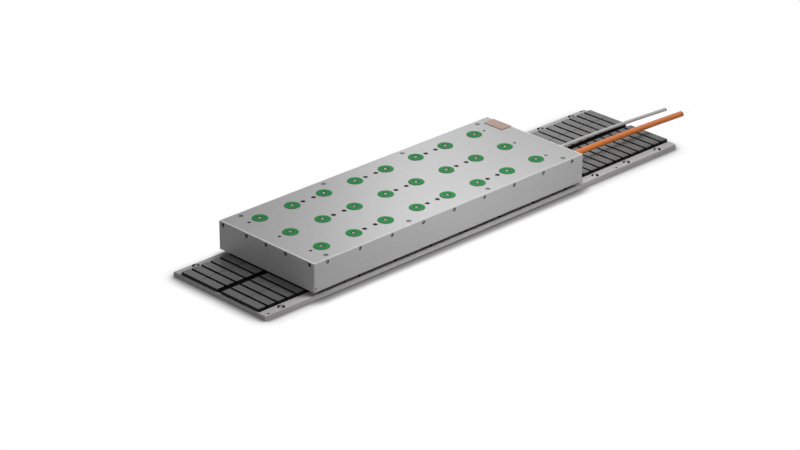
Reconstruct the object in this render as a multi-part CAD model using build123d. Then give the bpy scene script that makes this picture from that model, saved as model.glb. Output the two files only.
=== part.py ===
# Iron-core linear motor: a primary over its magnet track, in millimetres.
# X runs along the travel towards the cable end, Y across it and Z up.
# The origin is on the floor, under the middle of the track.
from build123d import *
import math
import os

# Magnet track
pole_pitch = 23.0
poles_per_plate = 8
plate_count = 6
plate_thickness = 10.0
plate_joint = 0.2
plate_edge_chamfer = 1.2
plate_side_strip = 20.5
magnet_gap = 4.5
magnet_seam = 0.2
magnet_height = 6.0
centre_channel = 13.0
fixing_holes_per_side = 2
fixing_row_inset = 9.0
fixing_hole_radius = 4.5
fixing_head_radius = 7.5
fixing_head_depth = 5.0
locating_hole_radius = 2.5
locating_hole_inset = 12.0
locating_row_inset = 5.0

# Primary housing
air_gap = 0.9
primary_length = 708.0
primary_width = 260.0
primary_height = 58.5
primary_rest_inset = 114.5
top_plate_thickness = 12.0
side_panel_thickness = 3.0
end_panel_thickness = 8.0
sheet_thickness = 0.5
outer_edge_radius = 2.0
panel_clearance = 0.1

# Mounting rings and their threaded inserts
teeth_per_ring = 3
ring_row_inset = 46.0
ring_radius = 15.5
ring_bore_radius = 5.0
ring_seat_depth = 2.0
ring_proud = 1.0
ring_chamfer = 0.5
insert_radius = 7.0
insert_flange_radius = 10.0
insert_flange_height = 2.5
thread_radius = 3.4
seat_clearance = 0.1

# Laminated core: six teeth face seven poles, and as many whole groups as fit make the core
teeth_per_group = 6
poles_per_group = 7
core_start_room = 20.75
core_end_room = 40.0
core_back_height = 16.0
slot_width = 14.2
end_winding_room = 24.5

# Coils, one around each tooth
insulator_wall = 0.8
insulator_tip_gap = 2.0
coil_side = 5.5
coil_end_gap = 1.2
insulator_corner = 1.2
phase_order = "UUVVWW"
lead_side = 1.6
lead_offset = 3.15

# Bars that join the coils of each phase
bar_names = ("phase", "phase", "phase", "star")
bar_thickness = 1.5
bar_height = 8.0
bar_pitch = 4.0
carrier_wall = 1.4
carrier_drop = 3.0
carrier_floor = 2.0
carrier_end_inset = 3.0

# Terminal board at the cable end
board_thickness = 1.6
board_length = 24.0
board_gap = 4.4
board_inset = 6.0
standoff_radius = 3.0
standoff_inset = 4.0
stud_pitch = 30.0
stud_radius = 2.5
stud_length = 13.0
stud_nut_radius = 4.6
stud_nut_height = 4.0

# Temperature sensors on the end windings
sensor_count = 3
sensor_size = (10.0, 3.0, 6.0)

# Cooling tube in the underside of the top plate
tube_radius = 4.0
tube_wall = 1.0
tube_inner_lane_y = 28.0
tube_ring_spacing = 18.0
tube_near_turn_inset = 33.5
tube_far_turn_inset = 43.0
port_radius = 6.0
port_thread_radius = 3.5
port_thread_length = 9.0
port_collar_radius = 7.0
port_collar_height = 1.5
port_inner_reach = 4.0

# Fasteners
core_screw_head_radius = 5.0
core_screw_shank_radius = 2.5
core_screw_length = 24.0
side_screw_start_inset = 33.0
side_screw_end_inset = 31.0
side_screw_head_radius = 4.0
side_screw_shank_radius = 2.0
side_screw_length = 12.0
end_screw_side_inset = 12.0
end_screw_port_spacing = 12.7
end_screw_head_radius = 4.2
end_screw_head_height = 4.5
end_screw_shank_radius = 2.5
end_screw_length = 16.0
corner_screw_height = 7.8
corner_screw_head_radius = 2.3
corner_screw_shank_radius = 1.4
corner_screw_length = 10.0
flat_socket_share = 0.62
flat_socket_depth_share = 0.4
cap_socket_share = 0.95
cap_socket_depth_share = 0.6
plug_radius = 5.0
plug_depth = 3.0
plug_side_inset = 14.0
plug_end_inset = 42.0
plugs_per_side = 4

# Blank plate on the top
blank_plate_length = 27.5
blank_plate_width = 50.0
blank_plate_thickness = 1.0
blank_plate_end_inset = 1.0
blank_plate_side_inset = 18.5
blank_plate_corner = 1.0

# Cables and their glands
cable_port_drop = 22.0
power_cable_inset = 58.0
power_cable_radius = 6.0
cable_spacing = 42.5
sensor_cable_radius = 3.5
power_hex = 24.0
sensor_hex = 15.0
power_thread_radius = 10.0
sensor_thread_radius = 6.0
gland_hex_height = 5.0
gland_length = 21.0
gland_dome_step = 1.0
gland_mouth_wall = 1.5
gland_nut_reach = 1.0
lock_nut_height = 4.0
cable_inner_reach = 6.5
power_core_count = 4
power_core_radius = 1.9
power_core_circle = 2.9
sensor_core_count = 4
sensor_core_radius = 0.8
sensor_core_circle = 1.6
core_length = 30.0
ferrule_length = 10.0
ferrule_share = 0.6

# How far a cut reaches past the face that it opens
overcut = 1.0

# Routes of the cables: distance past the cable end, and drop
power_cable_run = (
    (65, 0.0),
    (145, -0.9),
    (225, -2.9),
    (300, -5.6),
    (360, -8.3),
)
sensor_cable_run = (
    (58, 0.0),
    (125, -0.9),
    (195, -2.9),
    (260, -5.6),
    (315, -8.6),
    (360, -11.3),
)

# Largest share of a straight run that one bend of a cable takes
bend_share = 0.45

# Sizes and places that follow from those above
core_width = primary_width - 2 * end_winding_room
plate_width = core_width + 2 * plate_side_strip
plate_length = pole_pitch * poles_per_plate
track_length = plate_length * plate_count
magnet_width = pole_pitch - magnet_gap
magnet_block_length = (core_width - centre_channel) / 4 - magnet_seam / 2
fixing_row_y = plate_width / 2 - fixing_row_inset
locating_row_y = plate_width / 2 - locating_row_inset
primary_start_x = primary_rest_inset - track_length / 2
magnet_top_z = plate_thickness + magnet_height
bottom_z = magnet_top_z + air_gap
top_z = bottom_z + primary_height
plate_under_z = top_z - top_plate_thickness
primary_end_x = primary_start_x + primary_length
inner_start_x = primary_start_x + end_panel_thickness
inner_end_x = primary_end_x - end_panel_thickness
inner_half_width = primary_width / 2 - side_panel_thickness
group_length = pole_pitch * poles_per_group
tooth_pitch = group_length / teeth_per_group
tooth_width = tooth_pitch - slot_width
tooth_count = teeth_per_group * int((primary_length - core_start_room - core_end_room) / group_length)
core_start_x = primary_start_x + core_start_room
core_end_x = core_start_x + tooth_pitch * tooth_count
teeth_x = [core_start_x + tooth_pitch * (i + 0.5) for i in range(tooth_count)]
ring_columns_x = teeth_x[teeth_per_ring // 2 :: teeth_per_ring]
ring_row_y = primary_width / 2 - ring_row_inset
ring_rows_y = (-ring_row_y, 0, ring_row_y)
tooth_tip_z = bottom_z + sheet_thickness
slot_top_z = plate_under_z - core_back_height
screw_line_z = top_z - top_plate_thickness / 2
insert_top_z = top_z - ring_seat_depth
insulator_low_z = tooth_tip_z + insulator_tip_gap
coil_low_z = insulator_low_z + coil_end_gap
coil_top_z = slot_top_z - coil_end_gap
carrier_z = slot_top_z + carrier_drop
tube_z = plate_under_z + tube_radius
tube_outer_lane_y = ring_row_y - tube_ring_spacing
cable_z = tube_z - cable_port_drop
power_cable_y = power_cable_inset - primary_width / 2
sensor_cable_y = power_cable_y + cable_spacing
board_width = stud_pitch * (power_core_count + 1)
board_x = core_end_x + board_inset + board_length / 2
board_top_z = plate_under_z - board_gap


def turned(*outline):
    """A solid turned about Z from its outline of (radius, height) points."""
    face = make_face(Polyline(*[(r, 0, z) for r, z in outline], close=True))
    return revolve(face, Axis.Z)


def block(x0, x1, y0, y1, z0, z1):
    """A box between two corners."""
    size = Box(x1 - x0, y1 - y0, z1 - z0)
    return Pos((x0 + x1) / 2, (y0 + y1) / 2, (z0 + z1) / 2) * size


def at(places, piece):
    """One copy of a piece at each place."""
    return [Pos(*place) * piece for place in places]


def rod(radius, z0, z1):
    """A round bar on Z between two heights."""
    return Pos(0, 0, (z0 + z1) / 2) * Cylinder(radius, z1 - z0)


def hexagon(across_flats, z0, z1):
    """A hexagonal bar on Z between two heights."""
    face = RegularPolygon(across_flats / 2, 6, major_radius=False)
    return Pos(0, 0, z0) * extrude(face, z1 - z0)


def save(name, pieces):
    """Write the solids of one sub-part as its own file."""
    solids = [s for piece in pieces for s in piece.solids()]
    export_step(Compound(solids), f"parts/{name}.step")


def countersunk_screw(head_radius, shank_radius, length):
    """A flat-headed screw with a hexagon socket, its head flush with height 0."""
    screw = turned(
        (0, 0),
        (head_radius, 0),
        (shank_radius, shank_radius - head_radius),
        (shank_radius, -length),
        (0, -length),
    )
    socket_low = -head_radius * flat_socket_depth_share
    return screw - hexagon(head_radius * flat_socket_share, socket_low, overcut)


def countersunk_hole(head_radius, shank_radius, depth):
    """The space that a flat-headed screw needs, with its clearance."""
    c = seat_clearance
    return turned(
        (0, overcut),
        (head_radius + c, overcut),
        (head_radius + c, 0),
        (shank_radius + c, shank_radius - head_radius),
        (shank_radius + c, -depth),
        (0, -depth),
    )


def cap_screw(head_radius, head_height, shank_radius, length):
    """A cylinder-headed screw with a hexagon socket, its head flush with height 0."""
    screw = turned(
        (0, 0),
        (head_radius, 0),
        (head_radius, -head_height),
        (shank_radius, -head_height),
        (shank_radius, -length),
        (0, -length),
    )
    socket_low = -head_height * cap_socket_depth_share
    return screw - hexagon(head_radius * cap_socket_share, socket_low, overcut)


def cap_screw_hole(head_radius, head_height, shank_radius, depth):
    """The space that a cylinder-headed screw needs, with its clearance."""
    c = seat_clearance
    return turned(
        (0, overcut),
        (head_radius + c, overcut),
        (head_radius + c, -head_height),
        (shank_radius + c, -head_height),
        (shank_radius + c, -depth),
        (0, -depth),
    )


def spread(first, last, count):
    """Places at equal steps between two, both included."""
    step = (last - first) / (count - 1)
    return [first + step * i for i in range(count)]


# Places of the repeated pieces
ring_places = [(x, y) for x in ring_columns_x for y in ring_rows_y]
# Each column of rings has its cover screws on the tooth before or after it, in turn.
core_screws_x = [x + (-1) ** (i + 1) * tooth_pitch for i, x in enumerate(ring_columns_x)]
core_screw_places = [(x, y, top_z) for x in core_screws_x for y in ring_rows_y]
plug_row_y = primary_width / 2 - plug_side_inset
plug_rows_y = (-plug_row_y, plug_row_y)
plugs_x = spread(primary_start_x + plug_end_inset, primary_end_x - plug_end_inset, plugs_per_side)
plug_places = [(x, y, top_z) for x in plugs_x for y in plug_rows_y]
side_screws_x = spread(
    primary_start_x + side_screw_start_inset,
    primary_end_x - side_screw_end_inset,
    len(ring_columns_x) + 1,
)
end_screw_inner_y = tube_outer_lane_y - end_screw_port_spacing
end_screw_outer_y = primary_width / 2 - end_screw_side_inset
end_screw_rows_y = (
    -end_screw_outer_y,
    -end_screw_inner_y,
    0,
    end_screw_inner_y,
    end_screw_outer_y,
)


def facing(direction, place):
    """The location that turns a piece's +Z to a direction and moves it to its place."""
    return Plane(origin=place, z_dir=direction).location


def side_screw_seats():
    """Where the long-side screws sit, on both side panels."""
    half = primary_width / 2
    return [facing((0, s, 0), (x, s * half, screw_line_z)) for x in side_screws_x for s in (-1, 1)]


def end_screw_seats():
    """Where the end screws sit, on both end panels."""
    ends = ((primary_start_x, -1), (primary_end_x, 1))
    return [facing((s, 0, 0), (x, y, screw_line_z)) for x, s in ends for y in end_screw_rows_y]


def corner_screw_seats():
    """Where the small screws sit, low in the side panels at the closed end."""
    half = primary_width / 2
    x = primary_start_x + end_panel_thickness / 2
    z = bottom_z + corner_screw_height
    return [facing((0, s, 0), (x, s * half, z)) for s in (-1, 1)]


def port_seats():
    """Where the coolant ports come out of the cable end panel."""
    lanes = (-tube_outer_lane_y, tube_outer_lane_y)
    return [facing((1, 0, 0), (primary_end_x, y, tube_z)) for y in lanes]


def track_plate():
    """One base plate of the track, centred on the middle of its own length."""
    half_width = plate_width / 2
    low_edge = plate_thickness - plate_edge_chamfer
    outline = Polyline(
        (-half_width, 0),
        (half_width, 0),
        (half_width, low_edge),
        (half_width - plate_edge_chamfer, plate_thickness),
        (plate_edge_chamfer - half_width, plate_thickness),
        (-half_width, low_edge),
        close=True,
    )
    half_length = (plate_length - plate_joint) / 2
    plate = extrude(Plane.YZ * make_face(outline), half_length, both=True)
    seat_z = plate_thickness - fixing_head_depth
    fixing = turned(
        (0, -overcut),
        (fixing_hole_radius, -overcut),
        (fixing_hole_radius, seat_z),
        (fixing_head_radius, seat_z),
        (fixing_head_radius, plate_thickness + overcut),
        (0, plate_thickness + overcut),
    )
    pitch = plate_length / fixing_holes_per_side
    columns = [(i + 0.5) * pitch - plate_length / 2 for i in range(fixing_holes_per_side)]
    plate -= at([(x, y, 0) for x in columns for y in (-fixing_row_y, fixing_row_y)], fixing)
    inset_x = plate_length / 2 - locating_hole_inset
    pin_hole = rod(locating_hole_radius, -overcut, plate_thickness + overcut)
    plate -= at([(-inset_x, -locating_row_y, 0), (inset_x, locating_row_y, 0)], pin_hole)
    return plate


def magnet_blocks():
    """The magnets of one base plate: two rows, each pole made of two blocks."""
    step = magnet_block_length + magnet_seam
    first_y = (centre_channel + magnet_seam + magnet_block_length) / 2
    rows_y = [s * (first_y + step * i) for s in (-1, 1) for i in range(2)]
    columns_x = [(i + 0.5) * pole_pitch - plate_length / 2 for i in range(poles_per_plate)]
    z = plate_thickness + magnet_height / 2
    magnet = Box(magnet_width, magnet_block_length, magnet_height)
    return at([(x, y, z) for x in columns_x for y in rows_y], magnet)


def tube_path():
    """Centre line of the cooling tube: four runs along the plate and three turns."""
    near_x = inner_start_x + tube_near_turn_inset
    far_x = inner_end_x - tube_far_turn_inset
    port_x = inner_end_x - port_inner_reach
    inner, outer = tube_inner_lane_y, tube_outer_lane_y
    near_reach = near_x - (outer - inner) / 2
    middle = (outer + inner) / 2
    return Wire(
        [
            Line((port_x, outer), (near_x, outer)),
            ThreePointArc((near_x, outer), (near_reach, middle), (near_x, inner)),
            Line((near_x, inner), (far_x, inner)),
            ThreePointArc((far_x, inner), (far_x + inner, 0), (far_x, -inner)),
            Line((far_x, -inner), (near_x, -inner)),
            ThreePointArc((near_x, -inner), (near_reach, -middle), (near_x, -outer)),
            Line((near_x, -outer), (port_x, -outer)),
        ]
    ).moved(Pos(0, 0, tube_z))


def along(path, section):
    """Sweep a flat section, drawn about the origin, along a path."""
    return sweep(Plane(origin=path @ 0, z_dir=path % 0) * section, path=path)


def cooling_tube():
    """The bent tube that carries the coolant."""
    path = tube_path()
    return along(path, Circle(tube_radius) - Circle(tube_radius - tube_wall))


def tube_groove():
    """The groove that holds the tube, open on the plate's underside."""
    radius = tube_radius + seat_clearance
    path = tube_path()
    slot = sweep(
        Plane(origin=path @ 0, z_dir=path % 0, x_dir=(0, 0, 1))
        * Pos(-(tube_radius + overcut) / 2, 0)
        * Rectangle(tube_radius + overcut, 2 * radius),
        path=path,
    )
    return along(path, Circle(radius)) + slot


def top_plate():
    """The cooled top plate, with every seat, pocket and groove in it."""
    c = seat_clearance
    half_width = inner_half_width - panel_clearance
    x0, x1 = inner_start_x + panel_clearance, inner_end_x - panel_clearance
    plate = block(x0, x1, -half_width, half_width, plate_under_z, top_z)
    flange_top_z = plate_under_z + insert_flange_height
    ring_seat = turned(
        (0, plate_under_z - overcut),
        (insert_flange_radius + c, plate_under_z - overcut),
        (insert_flange_radius + c, flange_top_z),
        (insert_radius + c, flange_top_z),
        (insert_radius + c, insert_top_z),
        (ring_radius + c, insert_top_z),
        (ring_radius + c, top_z + overcut),
        (0, top_z + overcut),
    )
    plate -= at([(x, y, 0) for x, y in ring_places], ring_seat)
    depth = top_plate_thickness + overcut
    screw_hole = countersunk_hole(core_screw_head_radius, core_screw_shank_radius, depth)
    plate -= at(core_screw_places, screw_hole)
    plate -= at(plug_places, rod(plug_radius + c, -plug_depth, overcut))
    side_hole = rod(side_screw_shank_radius + c, -side_screw_length, 0)
    plate -= [seat * side_hole for seat in side_screw_seats()]
    end_hole = rod(end_screw_shank_radius + c, -end_screw_length, 0)
    plate -= [seat * end_hole for seat in end_screw_seats()]
    pocket = rod(port_radius + c, -end_panel_thickness - port_inner_reach, 0)
    plate -= [seat * pocket for seat in port_seats()]
    return plate - tube_groove()


def side_panel(side):
    """A long side panel, -1 for the front and 1 for the rear."""
    outer = primary_width / 2
    y0, y1 = sorted((side * outer, side * (outer - side_panel_thickness)))
    panel = block(primary_start_x, primary_end_x, y0, y1, bottom_z, top_z)
    outer_face = panel.faces().sort_by(Axis.Y)[-1 if side > 0 else 0]
    panel = fillet(outer_face.edges(), outer_edge_radius)
    depth = side_panel_thickness + overcut
    hole = countersunk_hole(side_screw_head_radius, side_screw_shank_radius, depth)
    small = countersunk_hole(corner_screw_head_radius, corner_screw_shank_radius, depth)
    panel -= [seat * hole for seat in side_screw_seats()]
    panel -= [seat * small for seat in corner_screw_seats()]
    return panel


def end_panel(side):
    """An end panel between the side panels, -1 for the closed end and 1 for the cable end."""
    face_x = primary_start_x if side < 0 else primary_end_x
    x0, x1 = sorted((face_x, face_x - side * end_panel_thickness))
    half_width = inner_half_width - panel_clearance
    panel = block(x0, x1, -half_width, half_width, bottom_z, top_z)
    outer_face = panel.faces().sort_by(Axis.X)[-1 if side > 0 else 0]
    long_edges = outer_face.edges().filter_by(Axis.Y)
    panel = fillet(long_edges, outer_edge_radius)
    depth = end_panel_thickness + overcut
    hole = cap_screw_hole(
        end_screw_head_radius, end_screw_head_height, end_screw_shank_radius, depth
    )
    panel -= [seat * hole for seat in end_screw_seats()]
    if side < 0:
        small = rod(corner_screw_shank_radius + seat_clearance, -corner_screw_length, 0)
        return panel - [seat * small for seat in corner_screw_seats()]
    port = rod(port_radius + seat_clearance, -depth, overcut)
    panel -= [seat * port for seat in port_seats()]
    for y, radius in ((power_cable_y, power_thread_radius), (sensor_cable_y, sensor_thread_radius)):
        seat = facing((1, 0, 0), (primary_end_x, y, cable_z))
        panel -= seat * rod(radius + seat_clearance, -depth, overcut)
    return panel


def air_gap_sheet():
    """The thin sheet that closes the primary towards the magnets."""
    half_width = inner_half_width - panel_clearance
    x0, x1 = inner_start_x + panel_clearance, inner_end_x - panel_clearance
    return block(x0, x1, -half_width, half_width, bottom_z, bottom_z + sheet_thickness)


def insulating_ring():
    """One mounting ring, which stands a little proud of the top plate."""
    low, high = insert_top_z, top_z + ring_proud
    return turned(
        (ring_bore_radius, low),
        (ring_radius, low),
        (ring_radius, high - ring_chamfer),
        (ring_radius - ring_chamfer, high),
        (ring_bore_radius, high),
    )


def threaded_insert():
    """One steel insert, put in from below so that its flange takes the load."""
    flange_top_z = plate_under_z + insert_flange_height
    return turned(
        (thread_radius, plate_under_z),
        (insert_flange_radius, plate_under_z),
        (insert_flange_radius, flange_top_z),
        (insert_radius, flange_top_z),
        (insert_radius, insert_top_z),
        (thread_radius, insert_top_z),
    )


def blank_plate():
    """The thin blank plate at the rear corner of the top."""
    x = primary_end_x - blank_plate_end_inset - blank_plate_length / 2
    y = primary_width / 2 - blank_plate_side_inset - blank_plate_width / 2
    outline = RectangleRounded(blank_plate_length, blank_plate_width, blank_plate_corner)
    return Pos(x, y, top_z) * extrude(outline, blank_plate_thickness)


def laminated_core():
    """The comb of the laminated core: a back and its teeth, with tapped holes in the back."""
    points = [(core_start_x, slot_top_z)]
    for x in teeth_x:
        left, right = x - tooth_width / 2, x + tooth_width / 2
        points += [(left, slot_top_z), (left, tooth_tip_z)]
        points += [(right, tooth_tip_z), (right, slot_top_z)]
    points += [(core_end_x, slot_top_z), (core_end_x, plate_under_z), (core_start_x, plate_under_z)]
    comb = extrude(Plane.XZ * make_face(Polyline(*points, close=True)), core_width / 2, both=True)
    tapped = rod(core_screw_shank_radius + seat_clearance, -core_screw_length, 0)
    return comb - at(core_screw_places, tapped)


def around_tooth(inner_x, inner_y, inner_corner, wall, outer_corner):
    """The flat outline of a sleeve round one tooth."""
    outer = RectangleRounded(2 * (inner_x + wall), 2 * (inner_y + wall), outer_corner)
    if inner_corner > 0:
        return outer - RectangleRounded(2 * inner_x, 2 * inner_y, inner_corner)
    return outer - Rectangle(2 * inner_x, 2 * inner_y)


def tooth_insulator():
    """The moulded sleeve that insulates one tooth and its end faces."""
    c = seat_clearance
    outline = around_tooth(
        tooth_width / 2 + c, core_width / 2 + c, 0, insulator_wall, insulator_corner
    )
    return Pos(0, 0, insulator_low_z) * extrude(outline, slot_top_z - insulator_low_z)


def tooth_coil():
    """One coil, wound on its insulator."""
    grow = 2 * seat_clearance + insulator_wall
    inner_corner = insulator_corner + seat_clearance
    outline = around_tooth(
        tooth_width / 2 + grow,
        core_width / 2 + grow,
        inner_corner,
        coil_side,
        inner_corner + coil_side,
    )
    return Pos(0, 0, coil_low_z) * extrude(outline, coil_top_z - coil_low_z)


def coils_of(phase):
    """All the coils of one phase, on the teeth that its letter has in the winding order."""
    order = [phase_order[i % len(phase_order)] for i in range(tooth_count)]
    return at([(x, 0, 0) for x, p in zip(teeth_x, order) if p == phase], tooth_coil())


def coil_leads():
    """The two ends of each coil, which rise to the busbar carrier."""
    y = core_width / 2 + 2 * seat_clearance + insulator_wall + coil_side / 2
    lead = block(-lead_side / 2, lead_side / 2, -lead_side / 2, lead_side / 2, coil_top_z, carrier_z)
    return at([(x + s * lead_offset, y, 0) for x in teeth_x for s in (-1, 1)], lead)


def bar_middle_y(number):
    """How far out the middle of a bar lies."""
    return core_width / 2 + carrier_wall / 2 + bar_pitch * (number + 0.5)


def busbar_carrier():
    """The comb on the side of the core that keeps the bars apart."""
    inner_y = core_width / 2
    outer_y = inner_y + carrier_wall + bar_pitch * len(bar_names)
    x0, x1 = core_start_x + carrier_end_inset, core_end_x - carrier_end_inset
    top = carrier_z + carrier_floor + bar_height
    comb = block(x0, x1, inner_y, outer_y, carrier_z, top)
    half_slot = bar_thickness / 2 + seat_clearance
    for number in range(len(bar_names)):
        y = bar_middle_y(number)
        y0, y1 = y - half_slot, y + half_slot
        comb -= block(x0 - overcut, x1 + overcut, y0, y1, carrier_z + carrier_floor, top + overcut)
    return comb


def bars(name):
    """The bars of one name, standing in their slots of the carrier."""
    x0, x1 = core_start_x + carrier_end_inset, core_end_x - carrier_end_inset
    low = carrier_z + carrier_floor
    half = bar_thickness / 2
    places = [bar_middle_y(i) for i, bar in enumerate(bar_names) if bar == name]
    return [block(x0, x1, y - half, y + half, low, low + bar_height) for y in places]


def temperature_sensors():
    """The sensors that lie on the end windings of a few coils."""
    length, depth, height = sensor_size
    face_y = core_width / 2 + 2 * seat_clearance + insulator_wall + coil_side
    z = (coil_low_z + coil_top_z) / 2
    sensor = Box(length, depth, height)
    step = tooth_count // sensor_count
    return at([(x, -face_y - depth / 2, z) for x in teeth_x[step // 2 :: step]], sensor)


def terminal_board():
    """The board where the phases meet the power cable."""
    board = Box(board_length, board_width, board_thickness)
    return Pos(board_x, 0, board_top_z - board_thickness / 2) * board


def board_standoffs():
    """The posts that hang the board from the top plate."""
    x_off = board_length / 2 - standoff_inset
    y_off = board_width / 2 - standoff_inset
    places = [(board_x + i * x_off, j * y_off, 0) for i in (-1, 1) for j in (-1, 1)]
    return at(places, rod(standoff_radius, board_top_z, plate_under_z))


def terminal_studs():
    """The studs under the board, one for each conductor."""
    z = board_top_z - board_thickness
    stud = turned(
        (0, z),
        (stud_nut_radius, z),
        (stud_nut_radius, z - stud_nut_height),
        (stud_radius, z - stud_nut_height),
        (stud_radius, z - stud_length),
        (0, z - stud_length),
    )
    first_y = -stud_pitch * (power_core_count - 1) / 2
    return at([(board_x, first_y + stud_pitch * i, 0) for i in range(power_core_count)], stud)


def coolant_port():
    """A threaded port: a collar outside the panel, and the tube's end behind its bore."""
    inner_end = -end_panel_thickness - port_inner_reach
    thread_end = port_collar_height - port_thread_length
    return turned(
        (tube_radius - tube_wall, inner_end),
        (port_radius, inner_end),
        (port_radius, 0),
        (port_collar_radius, 0),
        (port_collar_radius, port_collar_height),
        (port_thread_radius, port_collar_height),
        (port_thread_radius, thread_end),
        (tube_radius - tube_wall, thread_end),
    )


def cable_gland(thread, across_flats, bore):
    """A cable gland: its thread through the panel, a hexagon and a dome that narrows to the cable."""
    dome_radius = across_flats / 2 - gland_dome_step
    shoulder = gland_hex_height + (gland_length - gland_hex_height) / 2
    reach = end_panel_thickness + lock_nut_height + gland_nut_reach
    dome = turned(
        (0, gland_hex_height),
        (dome_radius, gland_hex_height),
        (dome_radius, shoulder),
        (bore + gland_mouth_wall, gland_length),
        (0, gland_length),
    )
    gland = rod(thread, -reach, 0) + hexagon(across_flats, 0, gland_hex_height) + dome
    return gland - rod(bore, -reach - overcut, gland_length + overcut)


def lock_nut(thread, across_flats):
    """The nut that holds a gland from inside the panel."""
    low, high = -end_panel_thickness - lock_nut_height, -end_panel_thickness
    bore = rod(thread + seat_clearance, low - overcut, high + overcut)
    return hexagon(across_flats, low, high) - bore


def cable_points(y, run):
    """The route of a cable: from inside its gland, out of the panel and slowly down."""
    start = Vector(primary_end_x - cable_inner_reach, y, cable_z)
    return [start] + [Vector(primary_end_x + x, y, cable_z + dz) for x, dz in run]


def cable_path(points):
    """Straight runs joined by tangent arcs, each as large as its two runs allow."""
    runs = [b - a for a, b in zip(points, points[1:])]
    radii = []
    for one, two in zip(runs, runs[1:]):
        half_turn = math.radians(one.get_angle(two)) / 2
        radii.append(bend_share * min(one.length, two.length) / math.tan(half_turn))
    print("cable bend radii", [round(r) for r in radii])
    return FilletPolyline(*points, radius=radii)


def cable(name, y, run, radius):
    """A cable's sheath, with a check of its volume."""
    path = cable_path(cable_points(y, run))
    sheath = along(path, Circle(radius))
    share = sheath.volume / (math.pi * radius**2 * path.length)
    print(name, "length", round(path.length, 1), "volume share", round(share, 4))
    return sheath


def stripped_cores(y, run, count, radius, circle):
    """The bare ends of the conductors, each with its ferrule."""
    points = cable_points(y, run)
    seat = facing(points[-1] - points[-2], points[-1])
    core = turned(
        (0, 0),
        (radius, 0),
        (radius, core_length),
        (radius * ferrule_share, core_length),
        (radius * ferrule_share, core_length + ferrule_length),
        (0, core_length + ferrule_length),
    )
    angles = [2 * math.pi * (i + 0.5) / count for i in range(count)]
    places = [(circle * math.cos(a), circle * math.sin(a), 0) for a in angles]
    return [seat * piece for piece in at(places, core)]


os.makedirs("parts", exist_ok=True)

for number in range(plate_count):
    x = (number + 0.5) * plate_length - track_length / 2
    save(f"track_plate_{number + 1}", [Pos(x, 0, 0) * track_plate()])
    save(f"magnet_group_{number + 1}", [Pos(x, 0, 0) * magnet for magnet in magnet_blocks()])

save("top_plate", [top_plate()])
save("front_side_panel", [side_panel(-1)])
save("rear_side_panel", [side_panel(1)])
save("closed_end_panel", [end_panel(-1)])
save("cable_end_panel", [end_panel(1)])
save("air_gap_sheet", [air_gap_sheet()])
save("insulating_rings", at([(x, y, 0) for x, y in ring_places], insulating_ring()))
save("threaded_inserts", at([(x, y, 0) for x, y in ring_places], threaded_insert()))
save("blank_plate", [blank_plate()])

core_screw = countersunk_screw(core_screw_head_radius, core_screw_shank_radius, core_screw_length)
side_screw = countersunk_screw(side_screw_head_radius, side_screw_shank_radius, side_screw_length)
corner_screw = countersunk_screw(
    corner_screw_head_radius, corner_screw_shank_radius, corner_screw_length
)
end_screw = cap_screw(
    end_screw_head_radius, end_screw_head_height, end_screw_shank_radius, end_screw_length
)
save("core_screws", at(core_screw_places, core_screw))
save("side_screws", [seat * side_screw for seat in side_screw_seats()])
save("end_screws", [seat * end_screw for seat in end_screw_seats()])
save("corner_screws", [seat * corner_screw for seat in corner_screw_seats()])
save("top_plugs", at(plug_places, rod(plug_radius, -plug_depth, 0)))

save("laminated_core", [laminated_core()])
save("tooth_insulators", at([(x, 0, 0) for x in teeth_x], tooth_insulator()))
for phase in sorted(set(phase_order)):
    save(f"coils_{phase.lower()}", coils_of(phase))
save("coil_leads", coil_leads())
save("busbar_carrier", [busbar_carrier()])
save("phase_bars", bars("phase"))
save("star_bar", bars("star"))
save("temperature_sensors", temperature_sensors())
save("terminal_board", [terminal_board()])
save("board_standoffs", board_standoffs())
save("terminal_studs", terminal_studs())
save("cooling_tube", [cooling_tube()])
save("coolant_ports", [seat * coolant_port() for seat in port_seats()])

power_seat = facing((1, 0, 0), (primary_end_x, power_cable_y, cable_z))
sensor_seat = facing((1, 0, 0), (primary_end_x, sensor_cable_y, cable_z))
power_gland = cable_gland(power_thread_radius, power_hex, power_cable_radius)
sensor_gland = cable_gland(sensor_thread_radius, sensor_hex, sensor_cable_radius)
save("power_gland", [power_seat * power_gland])
save("sensor_gland", [sensor_seat * sensor_gland])
save(
    "gland_lock_nuts",
    [
        power_seat * lock_nut(power_thread_radius, power_hex),
        sensor_seat * lock_nut(sensor_thread_radius, sensor_hex),
    ],
)
save("power_cable", [cable("power cable", power_cable_y, power_cable_run, power_cable_radius)])
save("sensor_cable", [cable("sensor cable", sensor_cable_y, sensor_cable_run, sensor_cable_radius)])
save(
    "power_core_ends",
    stripped_cores(
        power_cable_y, power_cable_run, power_core_count, power_core_radius, power_core_circle
    ),
)
save(
    "sensor_core_ends",
    stripped_cores(
        sensor_cable_y, sensor_cable_run, sensor_core_count, sensor_core_radius, sensor_core_circle
    ),
)
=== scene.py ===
# %% [markdown]
# A linear motor: a flat primary that slides along a track of magnets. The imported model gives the
# bodies, the joint and every size, so the scene starts by loading it and keeps its box. What is
# made here is only the finish: rounded edges, magnets, rings, screws, cables and materials.

# %% Load the frame
import math

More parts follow.
